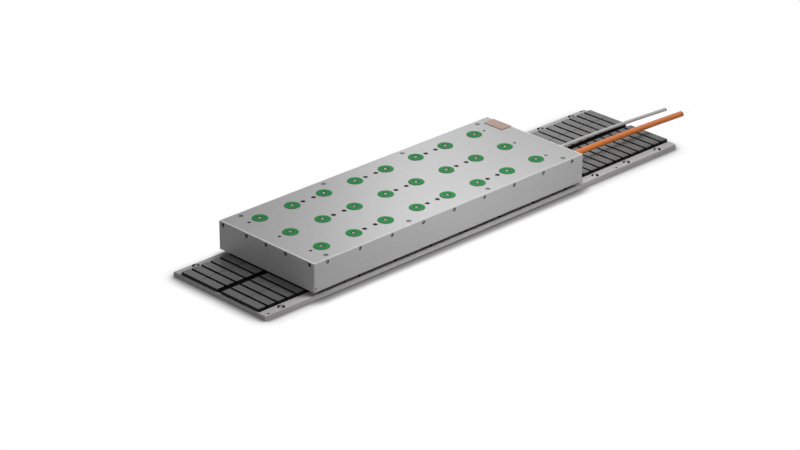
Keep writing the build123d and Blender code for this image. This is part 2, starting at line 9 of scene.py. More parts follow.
import bmesh
import bpy
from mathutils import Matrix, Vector


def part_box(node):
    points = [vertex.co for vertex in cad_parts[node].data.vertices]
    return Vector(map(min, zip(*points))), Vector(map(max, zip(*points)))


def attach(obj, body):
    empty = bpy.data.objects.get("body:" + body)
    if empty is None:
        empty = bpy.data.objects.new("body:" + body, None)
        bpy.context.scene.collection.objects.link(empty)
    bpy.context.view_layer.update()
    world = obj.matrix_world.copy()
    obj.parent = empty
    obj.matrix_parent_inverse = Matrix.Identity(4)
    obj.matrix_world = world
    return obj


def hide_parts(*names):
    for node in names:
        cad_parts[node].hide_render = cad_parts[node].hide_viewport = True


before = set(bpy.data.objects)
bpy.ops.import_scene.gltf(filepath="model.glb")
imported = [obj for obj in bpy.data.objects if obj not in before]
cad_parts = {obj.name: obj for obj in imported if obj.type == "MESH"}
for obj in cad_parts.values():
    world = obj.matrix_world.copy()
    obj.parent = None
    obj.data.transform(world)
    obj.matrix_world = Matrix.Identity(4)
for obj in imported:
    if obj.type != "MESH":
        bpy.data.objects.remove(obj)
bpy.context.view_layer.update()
scene = bpy.context.scene
mm = 0.001
TRACK, PRIMARY = "track", "primary"

# %% [markdown]
# The camera comes first, because everything else is judged through it. The photograph looks down
# on the motor at 25 degrees from the closed end of the primary, through a long lens, so that the
# edges of the track stay nearly parallel. The place and the lens were solved from the rows of rings
# and the corners of the box, and they are written here as plain values in metres.

# %% Camera
camera_place = Vector((-3.5650, -3.5850, 2.3265))
camera_aim = Vector((0.6300, 0.6514, -0.4229))
camera_lens = 130.3

camera_data = bpy.data.cameras.new("camera")
camera_data.lens = camera_lens
camera_data.clip_end = 60.0
camera = bpy.data.objects.new("camera", camera_data)
camera.location = camera_place
camera.rotation_euler = camera_aim.to_track_quat("-Z", "Y").to_euler()
scene.collection.objects.link(camera)
scene.camera = camera
print("camera at", tuple(round(v, 3) for v in camera_place))

# %% [markdown]
# Nodes are wired by one small helper, so that each material further down reads as a list of what
# it is made of. An input that is given a socket is linked to it, and any other value is set on
# the node itself.


# %% Helper for nodes
def wire(tree, kind, inputs=None, **settings):
    """Add one node, with its settings, its values and its links."""
    made = tree.nodes.new(kind)
    for name, value in settings.items():
        setattr(made, name, value)
    for name, value in (inputs or {}).items():
        if isinstance(value, bpy.types.NodeSocket):
            tree.links.new(value, made.inputs[name])
        else:
            made.inputs[name].default_value = value
    return made


# %% [markdown]
# A real metal or plastic face is never one flat colour: rolling, grinding or moulding leaves a
# faint pattern. Every material here is a Principled shader whose colour and roughness drift a
# little over the piece, read from Object coordinates so that the pattern stays on the piece from
# any side. The pattern is noise that is stretched along the direction in which the face was worked.


# %% Helper for materials
PATTERN_LOW, PATTERN_HIGH, PATTERN_ROUGHNESS = 0.3, 0.7, 0.6
BUMP_DEPTH = 0.1 * mm


def finish(name, dark, light, grain, rough, metallic=0.0, bump=0.0, detail=4.0, specular=0.5):
    """A worked surface between two colours, with its grain in cycles a metre along X, Y and Z."""
    material = bpy.data.materials.new(name)
    material.use_nodes = True
    tree = material.node_tree
    tree.nodes.clear()
    place = wire(tree, "ShaderNodeTexCoord").outputs["Object"]
    stretched = wire(tree, "ShaderNodeMapping", {"Vector": place, "Scale": grain})
    pattern = {"Scale": 1.0, "Detail": detail, "Roughness": PATTERN_ROUGHNESS}
    noise = wire(tree, "ShaderNodeTexNoise", {"Vector": stretched.outputs["Vector"], **pattern})
    ramp = wire(tree, "ShaderNodeValToRGB", {"Fac": noise.outputs["Fac"]})
    ramp.color_ramp.elements[0].position = PATTERN_LOW
    ramp.color_ramp.elements[1].position = PATTERN_HIGH
    ramp.color_ramp.elements[0].color = (*dark, 1.0)
    ramp.color_ramp.elements[1].color = (*light, 1.0)
    drift = wire(
        tree,
        "ShaderNodeMapRange",
        {"Value": noise.outputs["Fac"], "To Min": rough[0], "To Max": rough[1]},
    )
    shader = wire(
        tree,
        "ShaderNodeBsdfPrincipled",
        {
            "Base Color": ramp.outputs["Color"],
            "Roughness": drift.outputs["Result"],
            "Metallic": metallic,
            "Specular IOR Level": specular,
        },
    )
    if bump > 0:
        raised = wire(
            tree,
            "ShaderNodeBump",
            {"Height": noise.outputs["Fac"], "Strength": bump, "Distance": BUMP_DEPTH},
        )
        tree.links.new(raised.outputs["Normal"], shader.inputs["Normal"])
    out = wire(tree, "ShaderNodeOutputMaterial", {"Surface": shader.outputs["BSDF"]})
    out.target = "ALL"
    print("material", name)
    return material


def grey(value):
    """A neutral colour."""
    return (value, value, value)


# %% [markdown]
# The finishes of the big plates. The housing is taken for aluminium with a fine satin face. Its
# upright faces get a lighter copy of that finish, which is painted light: the same metal made
# brighter on the sides, so that the lamps in front can stay low and the strip of the track under the
# box stays dark, as it is in the photograph. The track is ground steel with a warm cast, with
# painted shade in its bores and a painted highlight on its seats. Metal here is only partly
# metallic: a bead-blasted face scatters most of its light, and a full metal would mirror the floor
# instead.

# %% Finishes of the plates
satin = dict(
    grain=(260, 260, 260), rough=(0.34, 0.42), metallic=0.03, bump=0.01, detail=3.0, specular=0.15
)
housing_metal = finish("housing_metal", grey(0.50), (0.54, 0.54, 0.545), **satin)
# Painted light: the housing's satin metal made lighter, for the upright faces only.
panel_metal = finish("panel_metal", grey(0.71), (0.76, 0.76, 0.765), **satin)
track_metal = finish(
    "track_metal",
    (0.70, 0.675, 0.685),
    (0.78, 0.75, 0.76),
    grain=(8, 120, 120),
    rough=(0.45, 0.55),
    bump=0.03,
    specular=0.08,
)
# Painted shade and painted highlight for the holes of the track: near black walls, bright seats.
bore_metal = finish("bore_metal", grey(0.006), grey(0.012), (60, 60, 900), (0.5, 0.6), specular=0.1)
seat_metal = finish("seat_metal", grey(0.88), grey(0.95), (400, 400, 400), (0.3, 0.4), 0.3)
# Painted shade: near black for the insides of holes, sockets and bores, and for shaded edges.
hole_black = finish(
    "hole_black", grey(0.004), grey(0.008), (300, 300, 300), (0.5, 0.6), specular=0.1
)
copper_face = finish(
    "copper_face", (0.25, 0.12, 0.078), (0.31, 0.16, 0.105), (20, 160, 80), (0.4, 0.5), 0.2, 0.03
)

# %% [markdown]
# Magnets, rings and fasteners. The magnets are dark grey on top, and their sides and bevels are
# nearly black with painted shade. The rings are green, with painted shade that darkens their outer
# edge and blackens their bore, as in the photograph, and are taken for an insulating laminate.
# Screws are black or grey, for black oxide and zinc, with painted shade in their sockets and dishes,
# and the thread of the inserts is the brightest of all, as a painted highlight.

# %% Finishes of magnets, rings and fasteners
magnet_face = finish(
    "magnet_face", grey(0.165), grey(0.205), (60, 12, 60), (0.30, 0.42), bump=0.03, specular=0.2
)
# Painted shade: a near black copy of the magnet's tone for the sides and bevels.
magnet_side = finish(
    "magnet_side", grey(0.006), grey(0.010), (80, 80, 80), (0.5, 0.6), specular=0.1
)
ring_green = finish(
    "ring_green",
    (0.007, 0.25, 0.05),
    (0.012, 0.30, 0.065),
    grain=(240, 240, 240),
    rough=(0.5, 0.6),
    specular=0.06,
)
# Painted shade: a dark green for the outer wall and bevel of the rings.
ring_edge = finish(
    "ring_edge", (0.003, 0.06, 0.014), (0.005, 0.09, 0.02), (240, 240, 900), (0.5, 0.6)
)
insert_metal = finish("insert_metal", grey(0.16), grey(0.22), (300, 300, 60), (0.3, 0.4), 0.6)
# Painted highlight: a near white for the thread inside the inserts.
thread_metal = finish(
    "thread_metal", (0.92, 0.86, 0.89), (0.98, 0.93, 0.95), (60, 60, 1500), (0.2, 0.3)
)
# Black oxide for the black cover screws, and painted shade for the dish walls of the side screws.
black_oxide = finish(
    "black_oxide", grey(0.004), grey(0.009), (500, 500, 500), (0.4, 0.5), specular=0.1
)
zinc_grey = finish("zinc_grey", grey(0.26), grey(0.34), (500, 500, 500), (0.3, 0.45), 0.3)
plug_grey = finish(
    "plug_grey", grey(0.09), grey(0.12), (400, 400, 400), (0.4, 0.5), specular=0.15
)

# %% [markdown]
# Pieces inside the housing and at the cable end. The photograph doesn't show them, yet each gets
# the finish that it usually has on a motor, so that a view with the cover off looks right: stacked
# sheets in the core, moulded insulators, enamelled copper, resin, board, brass and thin steel.

# %% Finishes of the inside
thin_steel = finish("thin_steel", grey(0.38), grey(0.45), (6, 160, 60), (0.3, 0.4), 0.7, 0.03)
core_metal = finish("core_metal", grey(0.10), grey(0.16), (1500, 4, 4), (0.4, 0.5), 0.5)
moulded_white = finish(
    "moulded_white", (0.62, 0.6, 0.52), (0.7, 0.68, 0.6), (90, 90, 90), (0.5, 0.6)
)
enamelled_copper = finish(
    "enamelled_copper", (0.40, 0.16, 0.07), (0.52, 0.22, 0.10), (30, 30, 900), (0.25, 0.35), 0.5
)
sensor_resin = finish(
    "sensor_resin", (0.45, 0.12, 0.03), (0.55, 0.16, 0.04), (200, 200, 200), (0.3, 0.4)
)
board_green = finish(
    "board_green", (0.25, 0.21, 0.08), (0.3, 0.26, 0.1), (150, 150, 150), (0.4, 0.5)
)
stud_brass = finish(
    "stud_brass", (0.5, 0.34, 0.1), (0.6, 0.42, 0.14), (300, 300, 300), (0.2, 0.3), 0.9
)
plated_brass = finish(
    "plated_brass", grey(0.5), (0.62, 0.61, 0.58), (300, 300, 300), (0.22, 0.32), 0.8
)

# %% [markdown]
# Both cables have a smooth plastic sheath, one orange and one grey, and their stripped ends show
# bare tinned wire. The grain is long in X, the direction in which a sheath is drawn.

# %% Finishes of the cables
sheath = dict(grain=(25, 120, 120), rough=(0.42, 0.5), specular=0.4)
orange_sheath = finish("orange_sheath", (0.86, 0.22, 0.03), (0.91, 0.25, 0.036), **sheath)
grey_sheath = finish("grey_sheath", grey(0.60), grey(0.66), **sheath)
core_pale = finish("core_pale", grey(0.92), grey(0.97), (200, 200, 200), (0.25, 0.35), 1.0)

# %% [markdown]
# Lighter or coated borders need a mask: a value that is one inside a box in Object coordinates and
# falls to zero over a soft border. A second helper lets a finish take another colour, metallic
# share and roughness where the mask is one, so one material can hold several looks.


# %% Helpers for masks
def within(tree, low, high, soft):
    """A mask over Object coordinates: one inside a box, falling to zero over a soft border."""
    place = wire(tree, "ShaderNodeTexCoord").outputs["Object"]
    middle = [(a + b) / 2 for a, b in zip(low, high)]
    half = [(b - a) / 2 for a, b in zip(low, high)]
    moved = wire(tree, "ShaderNodeVectorMath", {0: place, 1: middle}, operation="SUBTRACT")
    away = wire(tree, "ShaderNodeVectorMath", {0: moved.outputs[0]}, operation="ABSOLUTE")
    past = wire(tree, "ShaderNodeVectorMath", {0: away.outputs[0], 1: half}, operation="SUBTRACT")
    x, y, z = wire(tree, "ShaderNodeSeparateXYZ", {"Vector": past.outputs[0]}).outputs
    flat = wire(tree, "ShaderNodeMath", {0: x, 1: y}, operation="MAXIMUM")
    most = wire(tree, "ShaderNodeMath", {0: flat.outputs[0], 1: z}, operation="MAXIMUM")
    fade = {"Value": most.outputs[0], "From Min": -soft, "From Max": soft, "To Min": 1, "To Max": 0}
    return wire(tree, "ShaderNodeMapRange", fade).outputs["Result"]


def overlaid(material, mask, colour, metallic, rough):
    """Give a finish a second look where its mask is one."""
    tree = material.node_tree
    shader = next(node for node in tree.nodes if node.type == "BSDF_PRINCIPLED")
    ground = shader.inputs["Base Color"].links[0].from_socket
    tone = wire(tree, "ShaderNodeMix", {"Factor": mask}, data_type="RGBA")
    tree.links.new(ground, tone.inputs["A"])
    tone.inputs["B"].default_value = (*colour, 1.0)
    tree.links.new(tone.outputs["Result"], shader.inputs["Base Color"])
    for label, value in (("Metallic", metallic), ("Roughness", rough)):
        socket = shader.inputs[label]
        mix = wire(tree, "ShaderNodeMix", {"Factor": mask, "B": value}, data_type="FLOAT")
        if socket.is_linked:
            tree.links.new(socket.links[0].from_socket, mix.inputs["A"])
        else:
            mix.inputs["A"].default_value = socket.default_value
        tree.links.new(mix.outputs["Result"], socket)


# %% [markdown]
# Some places on the big plates look different from their faces. In the photograph a narrow bright
# line runs along the upper border of the housing, brighter still at both ends, so a painted
# highlight is laid there as a lighter rim. What makes the real one isn't known. The ground between
# the magnets and the channel in the middle of the track are black, and here that black is painted
# shade, which reaches a little past the magnets. More edges in the meshes could carry these borders,
# but a mask over Object coordinates is simpler and can be soft.

# %% Painted highlight on the rim and painted shade round the magnets
box_low, box_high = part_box("front_side_panel")[0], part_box("rear_side_panel")[1]
top_z = box_high.z
RIM_WIDTH, END_RIM_WIDTH, RIM_HEIGHT, RIM_SOFT = 2.8 * mm, 3.8 * mm, 2.2 * mm, 0.5 * mm
ROOM = 10 * mm  # how far a mask reaches past the housing where it has no border
metal_tree = housing_metal.node_tree
upper_slab = within(
    metal_tree,
    (box_low.x - ROOM, box_low.y - ROOM, top_z - RIM_HEIGHT),
    (box_high.x + ROOM, box_high.y + ROOM, top_z + ROOM),
    RIM_SOFT,
)
inner_field = within(
    metal_tree,
    (box_low.x + RIM_WIDTH, box_low.y + RIM_WIDTH, top_z - ROOM),
    (box_high.x - RIM_WIDTH, box_high.y - RIM_WIDTH, top_z + ROOM),
    RIM_SOFT,
)
# Painted highlight: a lighter band round the upper border of the housing.
rim = wire(metal_tree, "ShaderNodeMath", {0: upper_slab, 1: inner_field}, operation="SUBTRACT")
rim.use_clamp = True
overlaid(housing_metal, rim.outputs[0], colour=grey(0.66), metallic=0.1, rough=0.42)
between_ends = within(
    metal_tree,
    (box_low.x + END_RIM_WIDTH, box_low.y - ROOM, top_z - ROOM),
    (box_high.x - END_RIM_WIDTH, box_high.y + ROOM, top_z + ROOM),
    RIM_SOFT,
)
# Painted highlight: a near white band at both ends of the upper border.
end_rim = wire(metal_tree, "ShaderNodeMath", {0: upper_slab, 1: between_ends}, operation="SUBTRACT")
end_rim.use_clamp = True
overlaid(housing_metal, end_rim.outputs[0], colour=grey(0.97), metallic=0.0, rough=0.4)

first_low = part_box("magnet_group_1")[0]
last_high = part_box("magnet_group_6")[1]
SHADE_BORDER, SHADE_SOFT = 1.6 * mm, 0.6 * mm
# Painted shade: near black on the track between the magnets, in the channel and a little past them.
shade_round_magnets = within(
    track_metal.node_tree,
    (first_low.x, first_low.y - SHADE_BORDER, first_low.z - mm),
    (last_high.x, last_high.y + SHADE_BORDER, first_low.z + mm),
    SHADE_SOFT,
)
overlaid(track_metal, shade_round_magnets, colour=grey(0.006), metallic=0.0, rough=0.6)
print("rim and resin painted by mask")

# %% [markdown]
# The two cables are free cords: thick, fairly stiff leads that come out of their glands and keep
# nearly straight on, with a slow fall under their own weight. Each is a NURBS curve with the
# points of its route as control points, so its line has no corners, and a round bevel gives it
# its thickness. The first point lies inside the gland, where the cable is clamped.

# %% Cables
POWER_ROUTE = [
    (264.0, -72.0, 45.4),
    (335.5, -72.0, 45.4),
    (415.5, -72.0, 44.5),
    (495.5, -72.0, 42.5),
    (570.5, -72.0, 39.8),
    (630.5, -72.0, 37.1),
]
SENSOR_ROUTE = [
    (264.0, -29.5, 45.4),
    (328.5, -29.5, 45.4),
    (395.5, -29.5, 44.5),
    (465.5, -29.5, 42.5),
    (530.5, -29.5, 39.8),
    (585.5, -29.5, 36.8),
    (630.5, -29.5, 34.1),
]
POWER_RADIUS, SENSOR_RADIUS = 6.0 * mm, 3.5 * mm
ROUND_STEPS, LENGTH_STEPS, CURVE_ORDER = 6, 10, 3


def cable(name, route, radius, material):
    """A cord along its route, as one smooth curve."""
    curve = bpy.data.curves.new(name, "CURVE")
    curve.dimensions = "3D"
    curve.bevel_depth = radius
    curve.bevel_resolution = ROUND_STEPS
    curve.resolution_u = LENGTH_STEPS
    curve.use_fill_caps = True
    spline = curve.splines.new("NURBS")
    spline.points.add(len(route) - 1)
    for point, place in zip(spline.points, route):
        point.co = (*(v * mm for v in place), 1.0)
    spline.order_u = CURVE_ORDER
    spline.use_endpoint_u = True
    made = bpy.data.objects.new(name, curve)
    scene.collection.objects.link(made)
    curve.materials.append(material)
    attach(made, PRIMARY)
    return made


power_cable = cable("power_lead", POWER_ROUTE, POWER_RADIUS, orange_sheath)
sensor_cable = cable("sensor_lead", SENSOR_ROUTE, SENSOR_RADIUS, grey_sheath)
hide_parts("power_cable")
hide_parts("sensor_cable")
print("cables", power_cable.name, sensor_cable.name)

# %% [markdown]
# Rounded edges are what makes a machined part look real, because each edge catches a thin line of
# light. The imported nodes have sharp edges, so a merged copy of the node is made, its flat faces
# are joined up, and its sharp edges are bevelled by a fraction of a millimetre. The copy stands
# for the node and stays inside its box.

# %% Helper for eased copies
SHARP = math.radians(30)
FLAT = math.radians(0.5)
WELD = 0.002 * mm


def piece(name, mesh, body, nodes):
    """A finished mesh as a piece of the scene, on its body and in place of its nodes."""
    made = bpy.data.objects.new(name, mesh)
    scene.collection.objects.link(made)
    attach(made, body)
    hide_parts(*nodes)


def eased(name, node, width, materials, body, paint):
    """A copy of a node with its sharp edges rounded. The painter gives each face its material."""
    shape = bmesh.new()
    shape.from_mesh(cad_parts[node].data)
    bmesh.ops.remove_doubles(shape, verts=shape.verts, dist=WELD)
    bmesh.ops.dissolve_limit(
        shape, angle_limit=FLAT, verts=shape.verts, edges=shape.edges, delimit=set()
    )
    sharp = [e for e in shape.edges if e.is_manifold and e.calc_face_angle(0) > SHARP]
    bmesh.ops.bevel(
        shape,
        geom=sharp,
        offset=width,
        segments=2,
        profile=0.5,
        affect="EDGES",
        clamp_overlap=True,
    )
    low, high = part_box(node)
    for face in shape.faces:
        face.smooth = False
        face.material_index = paint(face, low, high)
    mesh = bpy.data.meshes.new(name)
    shape.to_mesh(mesh)
    shape.free()
    for material in materials:
        mesh.materials.append(material)
    piece(name, mesh, body, [node])
    print(name, "edges eased", len(sharp), "faces", len(mesh.polygons))


# %% [markdown]
# The housing is five plates of satin aluminium, rounded along their outer edges, with one finish
# for the level faces and a lighter copy of it for the upright ones, which is painted light. The six
# track plates are ground steel with counterbored holes. In the photograph each of these holes shows
# a light centre between two dark spots, and what makes them isn't known. Here their walls carry
# painted shade, their seats carry a painted highlight, and so does the side of each counterbore that
# faces the photograph's camera. That side is chosen once, by the direction of its faces, so it stays
# where it is in every view. The small locating holes are deep and carry black painted shade. A
# painter looks at a face's direction, place and height and says which finish it gets.


# %% Housing and track plates
HOUSING_EASE, TRACK_EASE = 0.3 * mm, 0.4 * mm
UPRIGHT, LEVEL, PANEL_LEVEL = 0.15, 0.995, 0.6
# BORE and PIN_HOLE faces get painted shade, SEAT faces get a painted highlight.
FACE, BORE, SEAT, PIN_HOLE = 0, 1, 2, 3
HOLE_INSET, PIN_WALL = 0.8 * mm, 6.0 * mm
HIGHLIGHT_SIDE = Vector((-0.70, -0.71, 0.0))  # towards the photograph's camera
HIGHLIGHT_SHARE = 0.94
SEAT_DEPTH = 1.0 * mm


def paint_plate(face, low, high):
    """Painted shade on the hole walls and a painted highlight on the seats and one side of each
    counterbore of a track plate.
    """
    place = face.calc_center_median()
    if not all(low[i] + HOLE_INSET < place[i] < high[i] - HOLE_INSET for i in (0, 1)):
        return FACE
    if abs(face.normal.z) < UPRIGHT:
        heights = [corner.co.z for corner in face.verts]
        if max(heights) - min(heights) > PIN_WALL:
            return PIN_HOLE
        bright = face.normal.dot(HIGHLIGHT_SIDE) > HIGHLIGHT_SHARE and min(heights) > low.z + SEAT_DEPTH
        return SEAT if bright else BORE
    return SEAT if face.normal.z > LEVEL and place.z < high.z - SEAT_DEPTH else FACE


def paint_upright_lit(face, _low, _high):
    """Level faces look like the top plate; upright ones get its lighter copy, which is painted
    light.
    """
    return 0 if abs(face.normal.z) > PANEL_LEVEL else 1


housing_looks = [housing_metal, panel_metal]
track_looks = [track_metal, bore_metal, seat_metal, hole_black]
for name, node in (
    ("cooled_top", "top_plate"),
    ("side_cover_front", "front_side_panel"),
    ("side_cover_rear", "rear_side_panel"),
    ("end_cover_closed", "closed_end_panel"),
    ("end_cover_cables", "cable_end_panel"),
):
    eased(name, node, HOUSING_EASE, housing_looks, PRIMARY, paint_upright_lit)
for number in range(1, 7):
    name, node = f"track_base_{number}", f"track_plate_{number}"
    eased(name, node, TRACK_EASE, track_looks, TRACK, paint_plate)

# %% [markdown]
# Screws, inserts, rings and plugs are turned parts, so one helper turns an outline about Z. An
# outline point may be marked as hexagonal, which gives the sockets of the screws the right
# shape without any cutting. The number of steps is a multiple of six for the same reason. Bands
# that lie inside a hole carry a mark, because the inside of a hole gets a colour of its own: painted
# shade, or for the thread of the inserts a painted highlight.


# %% Helper for turned shapes
def turned(name, outline, steps=24, closed=False, inner=()):
    """A mesh turned about Z from (radius, height, hexagonal) points, with its inner bands marked."""
    shape = bmesh.new()
    sixth = math.pi / 3
    rows = []
    for radius, height, hexagonal in outline:
        if radius == 0:
            rows.append([shape.verts.new((0, 0, height))])
            continue
        row = []
        for i in range(steps):
            angle = 2 * math.pi * i / steps
            reach = radius / math.cos(angle % sixth - sixth / 2) if hexagonal else radius
            row.append(shape.verts.new((reach * math.cos(angle), reach * math.sin(angle), height)))
        rows.append(row)
    pairs = list(zip(rows, rows[1:] + rows[:1])) if closed else list(zip(rows, rows[1:]))
    for low, high in pairs:
        for i in range(steps):
            corners = [low[i % len(low)], low[(i + 1) % len(low)]]
            corners += [high[(i + 1) % len(high)], high[i % len(high)]]
            shape.faces.new(list(dict.fromkeys(corners)))
    bmesh.ops.recalc_face_normals(shape, faces=shape.faces)
    mesh = bpy.data.meshes.new(name)
    shape.to_mesh(mesh)
    shape.free()
    marks = mesh.attributes.new("inner", "BOOLEAN", "FACE")
    is_inner = [band in inner for band in range(len(pairs)) for _ in range(steps)]
    marks.data.foreach_set("value", is_inner)
    return mesh


# %% [markdown]
# What repeats is placed by Geometry Nodes. The tree takes one shape and lays it out on a grid
# whose counts, steps and middle are named inputs, then makes the copies real and gives them their
# materials: one for faces that look up, one inside holes and one for the rest. A grid is the
# right rule for the rings and the magnets, which sit at equal steps. Screws follow a list of
# places instead, so a second tree copies a shape to the points of a small mesh. The result is
# turned into a plain mesh, because an export drops instances.


# %% Start and end of a tree
LOOKS_UP = 0.9


def new_tree(name, inputs):
    """An empty tree with one geometry output and its named inputs."""
    tree = bpy.data.node_groups.new(name, "GeometryNodeTree")
    tree.interface.new_socket("Geometry", in_out="OUTPUT", socket_type="NodeSocketGeometry")
    for label, kind, value in inputs:
        socket = tree.interface.new_socket(label, in_out="INPUT", socket_type=kind)
        if value is not None:
            socket.default_value = value
    return tree


def real_and_painted(tree, given, points, rotation=None):
    """End of a tree: copies at the points, made real, with their three materials."""
    source = wire(tree, "GeometryNodeObjectInfo", {"Object": given["Shape"]})
    copies = wire(
        tree,
        "GeometryNodeInstanceOnPoints",
        {"Points": points, "Instance": source.outputs["Geometry"]},
    )
    if rotation is not None:
        tree.links.new(rotation, copies.inputs["Rotation"])
    real = wire(tree, "GeometryNodeRealizeInstances", {"Geometry": copies.outputs["Instances"]})
    normal = wire(tree, "GeometryNodeInputNormal").outputs["Normal"]
    height = wire(tree, "ShaderNodeSeparateXYZ", {"Vector": normal}).outputs["Z"]
    looks_up = wire(
        tree, "FunctionNodeCompare", {"A": height, "B": LOOKS_UP}, operation="GREATER_THAN"
    )
    body = wire(
        tree,
        "GeometryNodeSetMaterial",
        {"Geometry": real.outputs["Geometry"], "Material": given["Material"]},
    )
    top = wire(
        tree,
        "GeometryNodeSetMaterial",
        {
            "Geometry": body.outputs["Geometry"],
            "Selection": looks_up.outputs["Result"],
            "Material": given["Top material"],
        },
    )
    marked = wire(tree, "GeometryNodeInputNamedAttribute", {"Name": "inner"}, data_type="BOOLEAN")
    inner = wire(
        tree,
        "GeometryNodeSetMaterial",
        {
            "Geometry": top.outputs["Geometry"],
            "Selection": marked.outputs["Attribute"],
            "Material": given["Inner material"],
        },
    )
    wire(tree, "NodeGroupOutput", {"Geometry": inner.outputs["Geometry"]})


# %% [markdown]
# The grid tree lays a shape out in columns and rows. The mesh grid gives the points, Set Position
# moves them to the middle of the pattern, and the end of the tree does the rest.


# %% Tree for a grid
def grid_tree():
    """Copies of one shape on a flat grid."""
    tree = new_tree(
        "copies_on_a_grid",
        [
            ("Shape", "NodeSocketObject", None),
            ("Columns", "NodeSocketInt", 2),
            ("Rows", "NodeSocketInt", 2),
            ("Length", "NodeSocketFloat", 0.1),
            ("Width", "NodeSocketFloat", 0.1),
            ("Middle", "NodeSocketVector", (0.0, 0.0, 0.0)),
            ("Material", "NodeSocketMaterial", None),
            ("Top material", "NodeSocketMaterial", None),
            ("Inner material", "NodeSocketMaterial", None),
        ],
    )
    given = wire(tree, "NodeGroupInput").outputs
    grid = wire(
        tree,
        "GeometryNodeMeshGrid",
        {
            "Size X": given["Length"],
            "Size Y": given["Width"],
            "Vertices X": given["Columns"],
            "Vertices Y": given["Rows"],
        },
    )
    moved = wire(
        tree,
        "GeometryNodeSetPosition",
        {"Geometry": grid.outputs["Mesh"], "Offset": given["Middle"]},
    )
    real_and_painted(tree, given, moved.outputs["Geometry"])
    return tree


# %% [markdown]
# The tree for a list of places reads its points from a small mesh, whose attribute "facing" says
# which way each copy looks. Screws in the sides and the ends of the housing need this, because
# they lie in several planes.


# %% Tree for a list of places
def places_tree():
    """Copies of one shape on the points of a mesh, each turned the way that its point says."""
    tree = new_tree(
        "copies_on_places",
        [
            ("Places", "NodeSocketObject", None),
            ("Shape", "NodeSocketObject", None),
            ("Material", "NodeSocketMaterial", None),
            ("Top material", "NodeSocketMaterial", None),
            ("Inner material", "NodeSocketMaterial", None),
        ],
    )
    given = wire(tree, "NodeGroupInput").outputs
    places = wire(tree, "GeometryNodeObjectInfo", {"Object": given["Places"]}).outputs["Geometry"]
    facing = wire(
        tree, "GeometryNodeInputNamedAttribute", {"Name": "facing"}, data_type="FLOAT_VECTOR"
    )
    turn = wire(
        tree,
        "FunctionNodeAlignRotationToVector",
        {"Vector": facing.outputs["Attribute"]},
        axis="Z",
    )
    real_and_painted(tree, given, places, turn.outputs["Rotation"])
    return tree


# %% [markdown]
# A tree runs on an empty object. Each input is set by the identifier of its socket, the result is
# read from the evaluated object as a plain mesh, and the modifier is gone before the mesh is given
# to its body. Pattern objects only lend their mesh to the tree, and are removed afterwards.


# %% Running a tree
def grown(name, tree, values, body, nodes):
    """Run a tree on an empty object and keep the result as a plain mesh."""
    host = bpy.data.objects.new(name + "_host", bpy.data.meshes.new(name + "_host"))
    scene.collection.objects.link(host)
    modifier = host.modifiers.new("nodes", "NODES")
    modifier.node_group = tree
    for item in tree.interface.items_tree:
        if item.in_out == "INPUT" and item.name in values:
            modifier[item.identifier] = values[item.name]
    bpy.context.view_layer.update()
    evaluated = host.evaluated_get(bpy.context.evaluated_depsgraph_get())
    mesh = bpy.data.meshes.new_from_object(evaluated)
    host.modifiers.remove(modifier)
    bpy.data.objects.remove(host)
    mesh.name = name
    piece(name, mesh, body, nodes)
    materials = [material.name for material in mesh.materials if material]
    print(name, "faces", len(mesh.polygons), "materials", materials)


def pattern_object(mesh):
    """An object that lends its mesh to a tree."""
    made = bpy.data.objects.new(mesh.name, mesh)
    scene.collection.objects.link(made)
    return made


def looks(side, top, inner):
    """The three materials of a repeated shape, under the names of the tree's inputs."""
    return {"Material": side, "Top material": top, "Inner material": inner}


def on_grid(name, mesh, columns, rows, length, width, middle, painted, body, nodes):
    """Lay one shape out on a grid."""
    shape = pattern_object(mesh)
    values = {
        "Shape": shape,
        "Columns": columns,
        "Rows": rows,
        "Length": length,
        "Width": width,
        "Middle": middle,
        **painted,
    }
    grown(name, GRID, values, body, nodes)
    bpy.data.objects.remove(shape)


def on_places(name, mesh, places, painted, body, nodes):
    """Copy one shape to places, each a point and the direction in which the shape's Z looks."""
    points = bpy.data.meshes.new(name + "_places")
    points.from_pydata([p for p, d in places], [], [])
    facing = points.attributes.new("facing", "FLOAT_VECTOR", "POINT")
    facing.data.foreach_set("vector", [v for p, d in places for v in d])
    spots, shape = pattern_object(points), pattern_object(mesh)
    values = {"Places": spots, "Shape": shape, **painted}
    grown(name, PLACES, values, body, nodes)
    bpy.data.objects.remove(spots)
    bpy.data.objects.remove(shape)


GRID, PLACES = grid_tree(), places_tree()
print("trees", GRID.name, PLACES.name)

# %% [markdown]
# The places of the rings, screws and plugs are measured from the frame, so that the scene has no
# second copy of the part's sizes. The rings are the master pattern: eight columns and three rows,
# whose outer corners are the box of their node. Each column has a cover screw one tooth before
# or after each of its rings, in turn.

# %% Measured places
ring_low, ring_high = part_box("insulating_rings")
RING_RADIUS = 15.5 * mm
RING_COLUMNS, RING_ROWS = 8, 3
ring_length = ring_high.x - ring_low.x - 2 * RING_RADIUS
ring_width = ring_high.y - ring_low.y - 2 * RING_RADIUS
ring_middle = (ring_low + ring_high) / 2
ring_step = ring_length / (RING_COLUMNS - 1)
ring_columns_x = [ring_low.x + RING_RADIUS + ring_step * i for i in range(RING_COLUMNS)]
ring_rows_y = [-ring_width / 2, 0.0, ring_width / 2]
tooth_step = ring_step / 3
print("ring step", round(ring_step / mm, 2), "mm, rows", [round(y / mm, 1) for y in ring_rows_y])

# %% [markdown]
# The green rings insulate the mounting screws from the housing. Each is a flat washer that stands
# one millimetre proud, with a small bevel round its upper edge and its bore. Turning one outline
# and laying it out on the grid keeps all 24 alike.

